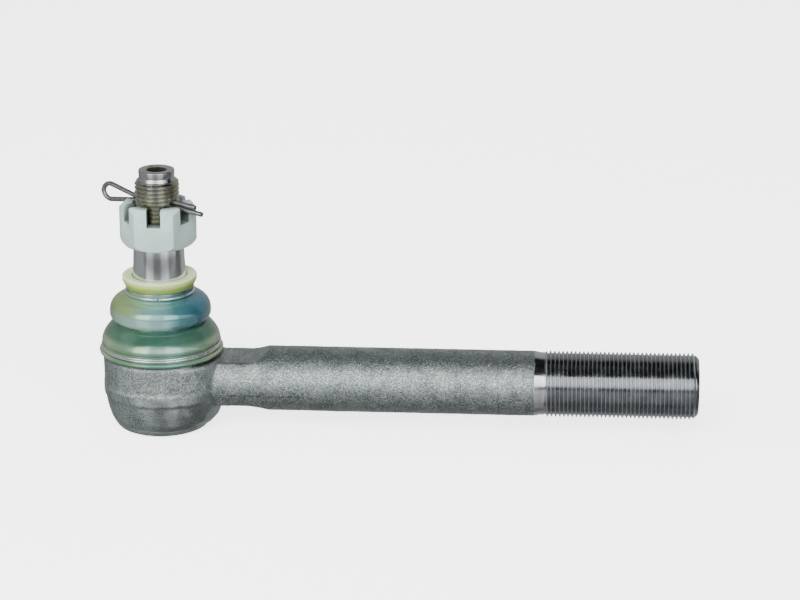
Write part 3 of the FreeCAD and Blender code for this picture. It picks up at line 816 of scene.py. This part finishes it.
clear_selection()
flats, nut_low, nut_high, slot_floor, slot_width = 24.0, 50.5, 66.0, 59.7, 5.0
nut_turn = math.radians(1)
bpy.ops.mesh.primitive_cylinder_add(
    vertices=6, radius=flats / math.sqrt(3) * mm, depth=(nut_high - nut_low) * mm,
    location=(0, 0, (nut_low + nut_high) / 2 * mm), rotation=(0, 0, nut_turn + math.pi / 6))
nut = bpy.context.object
nut.name = "castle_nut_hexagon"
bpy.ops.object.transform_apply()
chamfers = turned("nut_chamfers", [
    (8.1, nut_low), (11.2, nut_low)] + arc((10.6, nut_low + 3.4), 3.45, -78, -15, 5) + [
    (14.2, nut_low + 4.0), (14.2, nut_high - 2.3), (11.7, nut_high), (8.9, nut_high), (8.1, nut_high - 1.0)],
    steps=144)
combine(nut, chamfers, "INTERSECT")
# each slot is cut by a bar that stands on the slots' floor and crosses the nut
bar_height = 10
for turn in range(3):
    clear_selection()
    bpy.ops.mesh.primitive_cube_add(
        size=1, location=(0, 0, (slot_floor + bar_height / 2) * mm),
        scale=(40 * mm, slot_width * mm, bar_height * mm),
        rotation=(0, 0, nut_turn + math.radians(30 + 60 * turn)))
    combine(nut, bpy.context.object, "DIFFERENCE")
round_edges(nut, 0.22, 28)
smooth(nut, 30)

zinc_plate, tree, shader, place = new_material("zinc_plate")
axes = node(tree, "ShaderNodeSeparateXYZ", Vector=place).outputs
satin = grouped(tree, grain, Vector=place, Scale=2600.0, Strength=0.10)
clouds = noise(tree, place, 110.0, 4.0, 0.6)
worn = grouped(tree, edge_wear, Vector=place, Width=0.35 * mm)["Mask"]
# painted shade: deep corners, most of all in the slots above their floor, are darkened to a dark grey-green
slot_shade = maths(tree, "MULTIPLY", grouped(tree, crevice_shade, Reach=12 * mm)["Mask"], ramp(
    tree, maths(tree, "MULTIPLY", axes["Z"], 1 / (80 * mm)), [(0.735, 0.2), (0.75, 1.0)]))
plating = ramp(tree, clouds, [(0.3, (0.53, 0.71, 0.68)), (0.7, (0.64, 0.83, 0.80))])
plating = mixed(tree, maths(tree, "MULTIPLY", worn, 0.55), plating, (0.85, 0.88, 0.87))
connect(tree, shader, Base_Color=mixed(tree, slot_shade, plating, (0.10, 0.13, 0.12)),
        Roughness=ramp(tree, satin["Value"], [(0.35, 0.44), (0.65, 0.34)]), Normal=satin["Normal"],
        Metallic=0.4)
dress(nut, zinc_plate)
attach(nut, "stud")
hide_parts("castle_nut")


# --- Cotter pin -----------------------------------------------------------------------------------
# One steel wire doubled back on itself, pushed through the stud's cross hole over the nut's slot. The
# bend is left as an open eye, and the two legs are still almost straight.

def bent_wire(name, wire_radius, points, radii):
    """A round wire in the XZ plane through (x, z) points, with a bend of the given radius at each corner."""
    clear_selection()
    path = [Vector((x * mm, 0, z * mm)) for x, z in points]
    along = (path[1] - path[0]).normalized()
    bpy.ops.mesh.primitive_circle_add(
        vertices=16, radius=wire_radius * mm, fill_type="NGON", location=path[0],
        rotation=along.to_track_quat("Z", "Y").to_euler())
    piece = bpy.context.object
    piece.name = name
    bpy.ops.object.transform_apply()
    bpy.ops.object.mode_set(mode="EDIT")
    bpy.ops.mesh.select_all(action="SELECT")
    here = path[0]
    for before, corner, after, radius in zip(path, path[1:], path[2:], radii):
        back, ahead = (before - corner).normalized(), (after - corner).normalized()
        turn = math.pi - back.angle(ahead)
        reach = radius * mm * math.tan(turn / 2)
        middle = corner + (back + ahead).normalized() * (radius * mm / math.cos(turn / 2))
        bpy.ops.mesh.extrude_region_move(TRANSFORM_OT_translate={"value": corner + back * reach - here})
        hinge = ahead.cross(-back).normalized()
        bpy.ops.mesh.spin(steps=max(3, round(math.degrees(turn) / 8)), angle=turn, center=middle, axis=hinge)
        here = corner + ahead * reach
    bpy.ops.mesh.extrude_region_move(TRANSFORM_OT_translate={"value": path[-1] - here})
    weld()
    return piece


pin_wire_r, half_gap = 0.90, 0.93
eye_x, eye_half, eye_lift = -24.2, 3.6, 0.75
pin = bent_wire("cotter_pin_wire", pin_wire_r, [
    (19.8, pin_z - half_gap - 0.7), (9.0, pin_z - half_gap), (-10.8, pin_z - half_gap),
    (eye_x, pin_z + eye_lift - eye_half), (eye_x, pin_z + eye_lift + eye_half), (-10.8, pin_z + half_gap),
    (9.0, pin_z + half_gap), (16.9, pin_z + half_gap - 0.45)], [30, 7, 3.2, 3.2, 7, 30])
round_edges(pin, 0.18, 60)
turn_about(pin, "z", pin_bearing)
smooth(pin, 40)

pin_steel, tree, shader, place = new_material("pin_steel")
scale_marks = noise(tree, place, 420.0, 5.0, 0.65)
lines = grouped(tree, grain, Vector=place, Scale=2600.0, Strength=0.12)
worn = grouped(tree, edge_wear, Vector=place, Width=0.25 * mm)["Mask"]
wire_colour = ramp(tree, scale_marks, [(0.3, (0.20, 0.205, 0.20)), (0.7, (0.40, 0.41, 0.40))])
connect(tree, shader,
        Base_Color=mixed(tree, maths(tree, "MULTIPLY", worn, 0.5), wire_colour, (0.62, 0.63, 0.62)),
        Roughness=ramp(tree, scale_marks, [(0.3, 0.42), (0.7, 0.26)]), Normal=lines["Normal"],
        Metallic=0.95)
dress(pin, pin_steel)
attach(pin, "stud")
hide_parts("cotter_pin")
